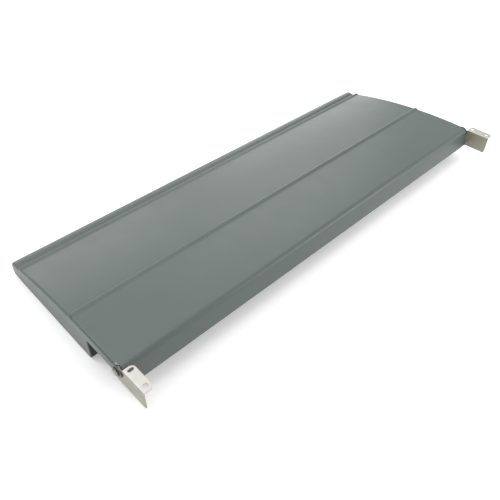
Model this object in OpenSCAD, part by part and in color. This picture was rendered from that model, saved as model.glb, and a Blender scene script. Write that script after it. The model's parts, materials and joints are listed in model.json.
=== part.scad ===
// Hinged deck plank: a long, gently crowned hollow plank made of two interlocking skins,
// closed by an end cap at each end, with a swinging angle bracket at each front corner.
// Built in deck coordinates: X along the deck from the left cap's face, Y from the front
// corner to the rear wall, Z up from the floor. It is then centred on its bounding box.

/* [Deck] */
// Length between the outer faces of the two end caps
deck_length = 1000; // [700:10:1400]
// Distance from the front corner to the outer face of the rear wall
deck_depth = 369; // [366:1:372]
// Height of the crown's highest line above the floor
deck_height = 72.5; // [70:0.5:78]
// Radius of the crown across the deck
crown_radius = 1220; // [1180:10:1280]
// Distance from the front corner back to the crown's highest line
crown_line = 50; // [44:1:56]
// Wall thickness of the skins, web, ribs and end caps
sheet = 1.5; // [1.2:0.1:1.6]

/* [Front lip] */
// Outer radius of the rolled front edge, which is centred on the bracket pivots
lip_bend_r = 12.5; // [12:0.5:13]
// Lean of the lip away from the vertical, in degrees
lip_lean = 15; // [10:1:18]
// Height of the lip's lower edge above the floor
lip_bottom = 33; // [28:1:38]
// Width of the hem that is turned in at the lip's lower edge
hem_w = 7; // [4:1:10]

/* [Seam and tongue] */
// Distance from the front corner back to the ridge over the seam
seam_line = 143; // [138:1:148]
// Distance from the front corner back to the ridge beside the rear tongue
rear_ridge_line = 328; // [326:1:330]
// Height of each ridge above the crown
ridge_h = 3.3; // [2:0.1:4]
// Width of the slope in front of each ridge
ridge_ramp = 14; // [10:1:18]
// Width of the flat crest of each ridge
ridge_crest = 1.6; // [1:0.1:2.4]
// Depth of the recessed tongue's face below the crown
recess = 1.6; // [1.6:0.1:2.2]
// Reach of the tongue that lies under the rear skin
tongue_reach = 30; // [20:1:36]
// Outer radius of the bead along the rear edge
bead_r = 20; // [18:0.5:21]
// Height of the bead's top above the floor
bead_top = 37.5; // [36.5:0.5:38.5]

/* [Web, ribs and end caps] */
// Distance from the front corner back to the front face of the web
web_line = 97; // [90:1:104]
// Width of the flanges turned in at the floor
flange_w = 22; // [16:1:26]
// Outer radius of the bends at the floor, on the web and on the rear wall
floor_bend_r = 6; // [4:0.5:7]
// Width of the foot of each rib
rib_foot = 16; // [12:1:20]
// Height of the stringer under the seam
stringer_h = 26; // [20:1:32]
// Width of the rim of each end cap, over the ends of the skins
cap_rim = 5; // [5:0.5:7]
// Length of the flange by which each end cap reaches in under the skins
cap_flange = 14; // [12:1:20]
// Depth of each end cap in front of the web
cap_arm = 21; // [18:0.5:24]

/* [Brackets] */
// Plate thickness of the brackets
bracket_t = 2; // [1.5:0.1:2]
// Reach of each bracket in front of the front corner
bracket_reach = 56.5; // [50:0.5:70]
// Height of the bracket's top face above the pivot
bracket_rise = 9.2; // [9:0.1:9.4]
// Height of the bracket's side plate
bracket_h = 40; // [36:1:44]
// Width of the bracket's top flange
bracket_flange = 20; // [18:1:24]
// Radius of the top flange's free corners
flange_corner = 8; // [5:0.5:9]
// Radius of the side plate's lower corners
plate_corner = 5; // [3:0.5:6]
// Width of the fixing slot
slot_w = 6.5; // [5.5:0.5:7]
// Length of the fixing slot, end to end
slot_len = 11; // [9:0.5:13]
// Width of the square hole near the bracket's tip
square_w = 7; // [6:0.5:8]

/* [Pivot hardware] */
// Diameter of the pivot bolts
bolt_d = 6; // [5:0.5:6]
// Diameter of the washers under the bolt heads and the nuts
washer_d = 16; // [12:1:16]
// Diameter of the flange on each pivot bush
bush_flange_d = 17; // [14:1:18]
// Outer diameter of the bush where the bracket turns on it
bush_d = 9; // [8:0.5:10]

/* [Hidden] */
$fn = 48;

paint = [0.50, 0.54, 0.53];
raw_paint = [0.40, 0.43, 0.42];
plated = [0.80, 0.78, 0.72];
fastener = [0.70, 0.70, 0.70];
black_nylon = [0.06, 0.06, 0.06];

// Curve steps: along the crown, along a ridge slope, round a bend, on a small curve and on a nearly flat one
crown_steps = 14;
ramp_steps = 6;
bend_steps = 12;
short_steps = 6;
flat_steps = 3;

// Clearances: between stacked sheets, along the pivot, round the bush and round a shank
sheet_gap = 0.1;
play = 0.1;
running_gap = 0.08;
shank_gap = 0.05;

rib_count = 4;
rivet_r = 2;
rivet_head_r = 3.8;
rivet_head_h = 1.4;
rivet_inset = 11;
cap_rivet_x = 12;
washer_t = 1.2;
bush_flange_t = 1;
bolt_head_h = 4;
bolt_head_af = 10;
nut_h = 6;
nut_af = 10;
nut_collar_h = 1.5;
thread_end = 1.5;
slot_line = 9.5;
square_line = 46.5;
hole_inset = 11.4;
bracket_heel = 10.5;
flange_clearance = 0.8;
valley_depth = 3.7;
valley_w = 5;
valley_front = 3.5;
step_w = 1.2;
ridge_round = 0.3;
bead_top_angle = 110;
bead_inner_angle = 75;
arm_start = 14;
edge_notch = 1;
bend_run_on = 1;
seam_gap = 1;
flange_gap = 1;
stringer_inset = 10;
stringer_reach = 18;
stringer_notch = [2, 22];
tongue_bay = 6;
cap_bay_front = 2;
cap_bay_rear = 38;
rivet_foot = 0.2;
dome_ratio = 1.5;
nut_collar_step = 0.6;

// How far a cutter runs past the face that it cuts
past = 1;

// The crown circle, and the bend's centre, which is also the pivot axis
crown_floor = deck_height - crown_radius;
pivot_y = 8.5;
pivot_z = crown_floor + sqrt(pow(crown_radius - lip_bend_r, 2) - pow(pivot_y - crown_line, 2));
bend_top_angle = 90 + asin((crown_line - pivot_y) / (crown_radius - lip_bend_r));
lip_angle = 180 - lip_lean;

// The bracket's section, measured from the pivot
bracket_bottom = bracket_rise - bracket_h;
bracket_tip = -bracket_reach - pivot_y;
flange_under = bracket_rise - bracket_t;
flange_start = -sqrt(pow(lip_bend_r + flange_clearance, 2) - pow(flange_under, 2));

// Stations along X
left_bracket_x = sheet + bush_flange_t + play;
right_bracket_x = deck_length + bush_flange_t + play;
stack_t = bush_flange_t + bracket_t + 2 * play;

// Bounding box of the whole plank in deck coordinates
x_low = -washer_t - bolt_head_h;
x_high = right_bracket_x + bracket_flange;
y_low = -bracket_reach;
y_high = deck_depth;
origin = [(x_low + x_high) / 2, (y_low + y_high) / 2, 0];

// Height of the crown at a distance y behind the front corner
function crown_z(y) = crown_floor + sqrt(pow(crown_radius, 2) - pow(y - crown_line, 2));

// Points of the crown from y0 to y1, lifted by dz
function crown_run(y0, y1, dz = 0, n = crown_steps) =
    [for (i = [0:n]) let (y = y0 + (y1 - y0) * i / n) [y, crown_z(y) + dz]];

// Points of an arc about c
function arc(c, r, a0, a1, n = bend_steps) =
    [for (i = [0:n]) let (a = a0 + (a1 - a0) * i / n) [c[0] + r * cos(a), c[1] + r * sin(a)]];

// Points of a smooth slope from height dz0 to dz1 over the crown
function slope(y0, y1, dz0, dz1, n = ramp_steps) =
    [for (i = [1:n]) let (t = i / n, y = y0 + (y1 - y0) * t)
        [y, crown_z(y) + dz0 + (dz1 - dz0) * (1 - cos(180 * t)) / 2]];

function backwards(points) = [for (i = [len(points) - 1:-1:0]) points[i]];

// A ridge: its slope, its flat crest and the step down to the recess
function ridge(y) = concat(
    slope(y - ridge_ramp, y, 0, ridge_h),
    [[y + ridge_crest, crown_z(y) + ridge_h - ridge_round], [y + ridge_crest + step_w, crown_z(y) - recess]]);

// The lip's straight outer face, d inside the outer surface, down to height z
function lip_point(z, d = 0) =
    let (top = [pivot_y + (lip_bend_r - d) * cos(lip_angle), pivot_z + (lip_bend_r - d) * sin(lip_angle)])
    [top[0] - (top[1] - z) * tan(lip_lean), z];

function bend(d = 0) = arc([pivot_y, pivot_z], lip_bend_r - d, lip_angle, bend_top_angle);
bend_end_y = pivot_y + lip_bend_r * cos(bend_top_angle);

// Outer faces of the two skins, from front to back
front_top = concat(
    crown_run(bend_end_y, seam_line - ridge_ramp),
    ridge(seam_line));
tongue_start = seam_line + ridge_crest + step_w;
rear_start = tongue_start + seam_gap;
bead_centre = [deck_depth - bead_r, bead_top - bead_r];
rear_bend_centre = [deck_depth - floor_bend_r, floor_bend_r];
web_bend_centre = [web_line + floor_bend_r, floor_bend_r];
valley_y = rear_ridge_line + ridge_crest + step_w + valley_front;
function rear_top(y0) = concat(
    crown_run(y0, rear_ridge_line - ridge_ramp),
    ridge(rear_ridge_line),
    [[valley_y, crown_z(valley_y) - valley_depth], [valley_y + valley_w, crown_z(valley_y) - valley_depth]],
    arc(bead_centre, bead_r, bead_top_angle, 0));

// Outer face of the end caps' rims from y0 back, where the ridge over the seam has no recess
function cap_top(y0) = concat(
    crown_run(y0, seam_line - ridge_ramp),
    slope(seam_line - ridge_ramp, seam_line, 0, ridge_h),
    [[seam_line + ridge_crest, crown_z(seam_line) + ridge_h - ridge_round]],
    rear_top(tongue_start));

// Underside of the rear tongue, from the bead forward to the ridge
rear_underside = concat(
    arc(bead_centre, bead_r - sheet, 0, bead_inner_angle, short_steps),
    [[valley_y + valley_w, crown_z(valley_y) - valley_depth - sheet],
     [valley_y, crown_z(valley_y) - valley_depth - sheet],
     [rear_ridge_line, crown_z(rear_ridge_line) - sheet]]);

module in_place() {
    translate(-origin) children();
}

// Turns a (y, z) outline into a solid between two stations along X
module along_x(x0, x1) {
    translate([x0, 0, 0]) rotate([90, 0, 90]) linear_extrude(x1 - x0) children();
}

// A round bar along X between two stations, at the pivot
module pivot_rod(x0, x1, r) {
    translate([x0, pivot_y, pivot_z]) rotate([0, 90, 0]) cylinder(h = x1 - x0, r = r);
}

module hexagon_rod(x0, x1, af) {
    translate([x0, pivot_y, pivot_z]) rotate([0, 90, 0])
        cylinder(h = x1 - x0, r = af / 2 / cos(30), $fn = 6);
}

// ---- Skins ----

module front_skin_outline() {
    polygon(concat(
        [lip_point(lip_bottom) + [hem_w, 0], lip_point(lip_bottom)],
        bend(),
        front_top,
        crown_run(rear_start, tongue_start + tongue_reach, -recess, flat_steps),
        backwards(concat(
            [lip_point(lip_bottom + sheet) + [hem_w, 0], lip_point(lip_bottom + sheet, sheet)],
            bend(sheet),
            crown_run(bend_end_y + bend_run_on, seam_line - ridge_ramp / 2, -sheet),
            slope(seam_line - ridge_ramp / 2, tongue_start, -sheet, -recess - sheet, flat_steps),
            crown_run(rear_start, tongue_start + tongue_reach, -recess - sheet, flat_steps)))));
}

// The skin's rolled edge stops short of each cap, so that the bracket can swing past its end
module front_skin() {
    color(paint) in_place() difference() {
        along_x(cap_rim, deck_length - cap_rim) front_skin_outline();
        for (x = [cap_rim, deck_length - cap_rim])
            translate([x - edge_notch, -deck_height, 0])
                cube([2 * edge_notch, deck_height + arm_start, 2 * deck_height]);
    }
}

module rear_skin_outline() {
    polygon(concat(
        rear_top(rear_start),
        arc(rear_bend_centre, floor_bend_r, 0, -90, short_steps),
        [[deck_depth - flange_w, 0], [deck_depth - flange_w, sheet]],
        arc(rear_bend_centre, floor_bend_r - sheet, -90, 0, short_steps),
        rear_underside,
        backwards(crown_run(rear_start, rear_ridge_line - ridge_ramp / 2, -sheet))));
}

module rear_skin() {
    color(paint) in_place() difference() {
        along_x(cap_rim, deck_length - cap_rim) rear_skin_outline();
        rivet_holes(rear_rivet_y);
    }
}

// ---- Structure under the skins ----

module front_web() {
    under = -sheet - sheet_gap;
    color(raw_paint) in_place() difference() {
        along_x(sheet, deck_length - sheet)
            polygon(concat(
                [[web_line + flange_w, 0]],
                arc(web_bend_centre, floor_bend_r, 270, 180, short_steps),
                crown_run(web_line, web_line + flange_w, under, flat_steps),
                backwards(crown_run(web_line + sheet, web_line + flange_w, under - sheet, flat_steps)),
                arc(web_bend_centre, floor_bend_r - sheet, 180, 270, short_steps),
                [[web_line + flange_w, sheet]]));
        rivet_holes(web_line + rivet_inset);
    }
}

// Holes through the floor flanges for the rivets at distance y
module rivet_holes(y) {
    for (x = concat(rib_rivet_stations, cap_rivet_stations))
        translate([x, y, -past]) cylinder(h = 2 * (sheet + past), r = rivet_r + shank_gap);
}

stringer_y = seam_line + stringer_inset;

// The stringer under the seam: a channel that is open to the rear
module seam_stringer() {
    back = stringer_y + stringer_reach;
    under = -recess - sheet - sheet_gap;
    top = crown_z(stringer_y + sheet) + under - sheet;
    bottom = crown_z(stringer_y) + under - stringer_h;
    end = cap_rim + cap_flange + flange_gap;
    color(raw_paint) in_place() along_x(end, deck_length - end)
        polygon(concat(
            crown_run(stringer_y, back, under, flat_steps),
            backwards(crown_run(stringer_y + sheet, back, under - sheet, flat_steps)),
            [[stringer_y + sheet, bottom + sheet], [back, bottom + sheet],
             [back, bottom], [stringer_y, bottom]]));
}

rib_pitch = deck_length / (rib_count + 1);
function rib_x(i) = i * rib_pitch - sheet / 2;
rib_rivet_stations = [for (i = [1:rib_count]) rib_x(i) + rib_foot / 2 + sheet];
cap_rivet_stations = [cap_rivet_x, deck_length - cap_rivet_x];
rear_rivet_y = deck_depth - rivet_inset;

// A cross rib: a bulkhead under the skins, notched for the stringer, with a foot on the floor flanges
module cross_rib(i) {
    front = web_line + sheet + sheet_gap;
    back = deck_depth - sheet - sheet_gap;
    under = -sheet - 2 * sheet_gap;
    notch_h = stringer_h + recess + 2 * sheet + stringer_notch[0];
    web_flange_end = web_line + flange_w + flange_gap;
    tongue_end = seam_line + tongue_reach + tongue_bay;
    shoulder = -3 * sheet;
    color(raw_paint) in_place() difference() {
        union() {
            along_x(rib_x(i), rib_x(i) + sheet)
                polygon(concat(
                    [[front + floor_bend_r, sheet], [front, floor_bend_r], [front, crown_z(front) + shoulder],
                     [web_flange_end, crown_z(web_flange_end) + shoulder]],
                    crown_run(web_flange_end, seam_line - ridge_ramp, under, flat_steps),
                    crown_run(seam_line - ridge_ramp / 2, tongue_end, under - recess - sheet, flat_steps),
                    crown_run(tongue_end + seam_gap, rear_ridge_line - ridge_ramp / 2, under, short_steps),
                    [[valley_y, crown_z(valley_y) - valley_depth - 2 * sheet],
                     [bead_centre[0], crown_z(valley_y) - valley_depth - 2 * sheet],
                     [back, bead_centre[1]], [back, floor_bend_r],
                     [back - floor_bend_r, sheet]]));
            translate([rib_x(i), front + floor_bend_r, sheet])
                cube([rib_foot + sheet, back - front - 2 * floor_bend_r, sheet]);
        }
        translate([rib_x(i) - past, stringer_y - stringer_notch[0], crown_z(stringer_y) - notch_h])
            cube([sheet + 2 * past, stringer_notch[1], notch_h]);
        for (y = [web_line + rivet_inset, rear_rivet_y]) rivet_holes(y);
    }
}

// A rivet standing on the floor: its shank fills both flanges and its domed head lies on top
module rivet(x, y) {
    top = 2 * sheet;
    dome_r = dome_ratio * rivet_head_r;
    translate([x, y, 0]) cylinder(h = top + rivet_foot, r = rivet_r);
    translate([x, y, top]) intersection() {
        cylinder(h = rivet_head_h, r = rivet_head_r);
        translate([0, 0, rivet_head_h - dome_r]) sphere(r = dome_r);
    }
}

module rib_rivets() {
    color(fastener) in_place()
        for (x = rib_rivet_stations, y = [web_line + rivet_inset, rear_rivet_y]) rivet(x, y);
}

module end_cap_rivets() {
    color(fastener) in_place()
        for (x = cap_rivet_stations, y = [web_line + rivet_inset, rear_rivet_y]) rivet(x, y);
}

// ---- End caps ----

// The cap's face: the deck's outline behind the web, a shallow arm in front and the pivot ear
module cap_face() {
    polygon(concat(
        cap_top(bend_end_y),
        arc(rear_bend_centre, floor_bend_r, 0, -90, short_steps),
        arc(web_bend_centre, floor_bend_r, 270, 180, short_steps),
        backwards(crown_run(pivot_y, web_line, -cap_arm, short_steps))));
    translate([pivot_y, pivot_z]) circle(r = lip_bend_r);
}

// The strip under the deck's outline that forms the cap's rim over the ends of the skins
module cap_rim_strip() {
    polygon(concat(
        cap_top(arm_start),
        [[deck_depth, floor_bend_r], [deck_depth - sheet, floor_bend_r]],
        rear_underside,
        backwards(crown_run(arm_start, rear_ridge_line - ridge_ramp / 2, -sheet, 2 * crown_steps))));
}

// A strip that reaches in under a skin, between distances y0 and y1
module under_skin_strip(y0, y1) {
    under = -sheet - sheet_gap;
    polygon(concat(
        crown_run(y0, y1, under, short_steps),
        backwards(crown_run(y0, y1, under - sheet, short_steps))));
}

// The cap at the left end, at station 0
module end_cap_solid() {
    inner = cap_rim + cap_flange;
    join = cap_rim - sheet;
    foot_front = web_line + floor_bend_r + sheet;
    foot_back = deck_depth - floor_bend_r - sheet;
    difference() {
        union() {
            along_x(0, sheet) cap_face();
            along_x(0, cap_rim) cap_rim_strip();
            for (run = [[arm_start, web_line - cap_bay_front],
                        [seam_line + cap_bay_rear, rear_ridge_line - ridge_ramp]]) {
                along_x(join, inner) under_skin_strip(run[0], run[1]);
                along_x(join, cap_rim) translate([0, sheet]) under_skin_strip(run[0], run[1]);
            }
            translate([0, foot_front, sheet]) cube([inner, foot_back - foot_front, sheet]);
        }
        pivot_rod(-past, sheet + past, bolt_d / 2 + shank_gap);
        for (y = [web_line + rivet_inset, rear_rivet_y])
            translate([cap_rivet_x, y, -past]) cylinder(h = 2 * (sheet + past), r = rivet_r + shank_gap);
    }
}

module left_end_cap() {
    color(paint) in_place() end_cap_solid();
}

module right_end_cap() {
    color(paint) in_place() translate([deck_length, 0, 0]) mirror([1, 0, 0]) end_cap_solid();
}

// ---- Brackets and their pivots ----

// Side plate of the bracket, drawn as (y, z) from the pivot
module bracket_side() {
    heel_angle = asin(bracket_rise / bracket_heel);
    low = bracket_bottom + plate_corner;
    difference() {
        polygon(concat(
            [[bracket_tip, bracket_rise]],
            arc([bracket_tip + plate_corner, low], plate_corner, 180, 270, short_steps),
            arc([bracket_heel - plate_corner, low], plate_corner, 270, 360, short_steps),
            arc([0, 0], bracket_heel, 0, heel_angle, short_steps),
            [[flange_start, bracket_rise]]));
        circle(r = bush_d / 2 + running_gap);
    }
}

// Top flange of the bracket, drawn as (x, y) from the pivot and the side plate's outer face
module bracket_top() {
    side = bracket_flange - flange_corner;
    difference() {
        polygon(concat(
            [[0, flange_start]],
            [[0, bracket_tip]],
            arc([side, bracket_tip + flange_corner], flange_corner, 270, 360),
            arc([side, flange_start - flange_corner], flange_corner, 0, 90)));
        translate([hole_inset, -slot_line - pivot_y]) {
            for (side = [-1, 1]) translate([side * (slot_len - slot_w) / 2, 0]) circle(r = slot_w / 2);
            square([slot_len - slot_w, slot_w], center = true);
        }
        translate([hole_inset, -square_line - pivot_y]) square(square_w, center = true);
    }
}

module bracket(x) {
    translate([x, pivot_y, pivot_z]) {
        rotate([90, 0, 90]) linear_extrude(bracket_t) bracket_side();
        translate([0, 0, flange_under]) linear_extrude(bracket_t) bracket_top();
    }
}

// A rod of length h that starts at station face and grows along dir, which is 1 or -1
module grown_rod(face, dir, h, r) {
    low = min(face, face + dir * h);
    pivot_rod(low, low + h, r);
}

// Washer that lies on station face and grows along dir
module washer(face, dir) {
    difference() {
        grown_rod(face, dir, washer_t, washer_d / 2);
        pivot_rod(face - washer_t - past, face + washer_t + past, bolt_d / 2 + 2 * shank_gap);
    }
}

// Bush: a flange against the ear's face and a sleeve through the bracket
module pivot_bush(face) {
    difference() {
        union() {
            pivot_rod(face, face + bush_flange_t, bush_flange_d / 2);
            pivot_rod(face, face + stack_t, bush_d / 2);
        }
        pivot_rod(face - past, face + stack_t + past, bolt_d / 2 + shank_gap);
    }
}

// Bolt: hexagon head whose bearing face is at station face, shank growing along dir
module pivot_bolt(face, dir, grip) {
    low_head = dir > 0 ? face - bolt_head_h : face;
    shank = grip + nut_h + thread_end;
    hexagon_rod(low_head, low_head + bolt_head_h, bolt_head_af);
    grown_rod(face, dir, shank, bolt_d / 2);
}

// Lock nut: hexagon with a round collar on its far side
module lock_nut(face, dir) {
    low = min(face, face + dir * (nut_h - nut_collar_h));
    difference() {
        union() {
            hexagon_rod(low, low + nut_h - nut_collar_h, nut_af);
            grown_rod(face, dir, nut_h, nut_af / 2 - nut_collar_step);
        }
        pivot_rod(face - nut_h - past, face + nut_h + past, bolt_d / 2 + shank_gap);
    }
}

left_nut_face = sheet + stack_t + washer_t;
right_nut_face = deck_length - sheet - washer_t;
right_head_face = deck_length + stack_t + washer_t;
left_grip = left_nut_face + washer_t;
right_grip = right_head_face - right_nut_face;

module left_bracket() {
    color(plated) in_place() bracket(left_bracket_x);
}

module left_pivot_bolt() {
    color(fastener) in_place() pivot_bolt(-washer_t, 1, left_grip);
}

module left_head_washer() {
    color(black_nylon) in_place() washer(0, -1);
}

module left_pivot_bush() {
    color(black_nylon) in_place() pivot_bush(sheet);
}

module left_nut_washer() {
    color(fastener) in_place() washer(sheet + stack_t, 1);
}

module left_lock_nut() {
    color(fastener) in_place() lock_nut(left_nut_face, 1);
}

module right_bracket() {
    color(plated) in_place() bracket(right_bracket_x);
}

module right_pivot_bolt() {
    color(fastener) in_place() pivot_bolt(right_head_face, -1, right_grip);
}

module right_head_washer() {
    color(black_nylon) in_place() washer(deck_length + stack_t, 1);
}

module right_pivot_bush() {
    color(black_nylon) in_place() pivot_bush(deck_length);
}

module right_nut_washer() {
    color(fastener) in_place() washer(deck_length - sheet, -1);
}

module right_lock_nut() {
    color(fastener) in_place() lock_nut(right_nut_face, -1);
}

front_skin();
rear_skin();
front_web();
seam_stringer();
cross_rib(1);  // cross_rib_1
cross_rib(2);  // cross_rib_2
cross_rib(3);  // cross_rib_3
cross_rib(4);  // cross_rib_4
left_end_cap();
right_end_cap();
rib_rivets();
end_cap_rivets();
left_bracket();
left_pivot_bolt();
left_head_washer();
left_pivot_bush();
left_nut_washer();
left_lock_nut();
right_bracket();
right_pivot_bolt();
right_head_washer();
right_pivot_bush();
right_nut_washer();
right_lock_nut();
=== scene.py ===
"""Hinged deck plank: the looks of a long, crowned, hollow plank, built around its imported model.

Shapes are worked out in millimetres in deck coordinates: X along the deck from the left cap's face,
Y back from the front corner and Z up from the floor. Deck.placed() turns them into the frame's metres.
"""

import json
import logging
import math
from dataclasses import dataclass, field
from enum import Enum
from functools import cached_property
from typing import Callable

import bmesh
import bpy
import numpy as np
from mathutils import Matrix, Vector
from mathutils.geometry import delaunay_2d_cdt

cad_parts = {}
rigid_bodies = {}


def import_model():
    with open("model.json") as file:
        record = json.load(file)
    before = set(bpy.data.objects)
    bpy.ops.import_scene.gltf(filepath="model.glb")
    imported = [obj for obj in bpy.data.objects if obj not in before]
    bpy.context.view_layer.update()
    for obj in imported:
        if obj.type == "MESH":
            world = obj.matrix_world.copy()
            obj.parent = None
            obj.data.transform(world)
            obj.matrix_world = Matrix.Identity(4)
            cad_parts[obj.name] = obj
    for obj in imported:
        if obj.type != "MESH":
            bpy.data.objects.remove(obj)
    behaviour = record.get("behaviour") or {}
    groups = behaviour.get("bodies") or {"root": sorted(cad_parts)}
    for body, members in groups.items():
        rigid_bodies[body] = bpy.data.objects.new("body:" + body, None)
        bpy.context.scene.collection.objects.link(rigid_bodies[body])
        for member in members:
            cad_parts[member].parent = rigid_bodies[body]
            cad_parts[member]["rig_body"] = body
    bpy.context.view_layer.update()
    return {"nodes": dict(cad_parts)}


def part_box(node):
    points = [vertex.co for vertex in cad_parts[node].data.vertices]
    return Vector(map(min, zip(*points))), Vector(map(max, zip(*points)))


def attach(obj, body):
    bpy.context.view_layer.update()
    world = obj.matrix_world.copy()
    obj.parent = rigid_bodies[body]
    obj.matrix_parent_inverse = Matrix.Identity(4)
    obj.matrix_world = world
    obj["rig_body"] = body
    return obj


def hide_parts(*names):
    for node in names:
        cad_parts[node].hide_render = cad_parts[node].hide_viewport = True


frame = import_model()
MM = 0.001
MERGE_DISTANCE = 1e-6
INSIDE_BORDERS = 1
FILL_TOLERANCE = 1e-7
LEVEL_TOLERANCE = 1e-6
SHARP_ANGLE = math.radians(34)
RIVET_HOLE_POINTS = 24
BORE_POINTS = 48
NOISE_MIDDLE = (0.25, 0.75)
log = logging.getLogger("deck_plank")

Array = np.ndarray


class Slot(Enum):
    """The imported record's material slots."""

    DECK = "deck_paint"
    INNER = "inner_paint"
    BRACKET = "bracket_plating"
    FASTENER = "fastener_plating"
    BUSH = "bush_nylon"


class End(Enum):
    """The two ends of the deck, as the direction in which each one faces along X."""

    LEFT = -1
    RIGHT = 1

    @property
    def label(self) -> str:
        """The end's name as the nodes use it."""
        return self.name.lower()


# ---- Plane curves, all in millimetres ----


def unit(vectors: Array) -> Array:
    """Each row divided by its length."""
    return vectors / np.linalg.norm(vectors, axis=-1, keepdims=True)


def left_normal(directions: Array) -> Array:
    """Each plane direction (a, b) turned a quarter turn to the left, to (-b, a)."""
    return np.stack([-directions[..., 1], directions[..., 0]], axis=-1)


def arc(centre: Array, radius: float, start: float, end: float, count: int) -> Array:
    """Points on a circle: centre + radius (cos a, sin a), with a running evenly between two angles.

    Args:
        centre: The circle's centre.
        radius: Its radius.
        start: The first angle, in degrees.
        end: The last angle, in degrees.
        count: How many points.

    Returns:
        The points, one row each.
    """
    angles = np.radians(np.linspace(start, end, count))
    return np.asarray(centre) + radius * np.stack([np.cos(angles), np.sin(angles)], axis=-1)


def circle(centre: Array, radius: float, count: int, clockwise: bool = False) -> Array:
    """A whole circle of count points, starting at angle 0."""
    last = 360 * (count - 1) / count
    return arc(centre, radius, 0, -last if clockwise else last, count)


def ease(values: Array, low: float, high: float) -> Array:
    """0 below low, 1 above high and t t (3 - 2 t) between them, where t is the share of the way."""
    share = np.clip((values - low) / (high - low), 0, 1)
    return share * share * (3 - 2 * share)


def distinct(path: Array, gap: float = 1e-3) -> Array:
    """The path without the points that lie within gap of the one before."""
    steps = np.linalg.norm(np.diff(path, axis=0), axis=1)
    return path[np.concatenate([[True], steps > gap])]


def rounded(corners: Array, radii: Array | float, count: int = 9) -> Array:
    """A path through corners, each inner one replaced by an arc.

    A corner that turns by t, with radius r, is cut back by r tan(t / 2) along both of its sides, and an
    arc about the point that lies r from both sides joins the two cuts.

    Args:
        corners: The corners in order, one row each; the first and last stay as they are.
        radii: One radius for all inner corners, or one for each.
        count: Points on each arc.

    Returns:
        The points of the path.
    """
    corners = np.asarray(corners, float)
    middle = corners[1:-1]
    before = unit(middle - corners[:-2])
    after = unit(corners[2:] - middle)
    radii = np.broadcast_to(np.asarray(radii, float), len(middle))[:, None]
    turn = np.arctan2(np.sum(left_normal(before) * after, axis=1), np.sum(before * after, axis=1))[:, None]
    start = middle - before * radii * np.tan(np.abs(turn) / 2)
    spoke = -np.sign(turn) * left_normal(before)
    centre = start - spoke * radii
    angles = np.arctan2(spoke[:, 1:], spoke[:, :1]) + turn * np.linspace(0, 1, count)
    arcs = centre[:, None] + radii[:, None] * np.stack([np.cos(angles), np.sin(angles)], axis=-1)
    return distinct(np.concatenate([corners[:1], arcs.reshape(-1, 2), corners[-1:]]))


def spaced(path: Array, step: float) -> Array:
    """The path with each side longer than step divided evenly."""
    sides = np.diff(path, axis=0)
    parts = np.maximum(1, np.ceil(np.linalg.norm(sides, axis=1) / step)).astype(int)
    side = np.repeat(np.arange(len(parts)), parts)
    share = (np.arange(parts.sum()) - np.repeat(np.cumsum(parts) - parts, parts)) / parts[side]
    return np.concatenate([path[side] + sides[side] * share[:, None], path[-1:]])


def path_normals(path: Array, closed: bool = False) -> Array:
    """Unit left normals of a path, from the step between each point's two neighbours."""
    if closed:
        steps = np.roll(path, -1, axis=0) - np.roll(path, 1, axis=0)
    else:
        steps = np.gradient(path, axis=0)
    return left_normal(unit(steps))


def upright(path: Array, station: Array | float) -> Array:
    """A (y, z) path as points in space, at one station along X or at one for each point."""
    return np.column_stack([np.broadcast_to(station, len(path)), path])


def lying(path: Array, height: float) -> Array:
    """An (x, y) path as points in space, at one height."""
    return np.column_stack([path, np.full(len(path), height)])


def plane_fill(*loops: Array) -> Array:
    """Triangles that fill the first loop and leave the others open, turning anticlockwise.

    The fill is a Delaunay one that keeps every loop's sides. A triangle with all of its corners on one
    hole lies in that hole, because the holes bulge outwards everywhere, and is left out.

    Args:
        loops: The outer loop, then any holes, one row for each point.

    Returns:
        Three corner numbers for each triangle, counted through the loops in order.
    """
    starts = np.cumsum([0, *(len(loop) for loop in loops)])
    rings = [np.arange(low, high) for low, high in zip(starts[:-1], starts[1:])]
    sides = np.concatenate([np.stack([ring, np.roll(ring, -1)], axis=-1) for ring in rings])
    points = [Vector(point) for point in np.concatenate(loops).tolist()]
    made = delaunay_2d_cdt(points, sides.tolist(), [], INSIDE_BORDERS, FILL_TOLERANCE)
    source = np.array([origins[0] for origins in made[3]])
    triangles = source[np.array(made[2])]
    loop = np.searchsorted(starts[1:], triangles, side="right")
    in_hole = (loop.min(axis=1) == loop.max(axis=1)) & (loop[:, 0] > 0)
    return triangles[~in_hole]


# ---- Solids ----


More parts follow.
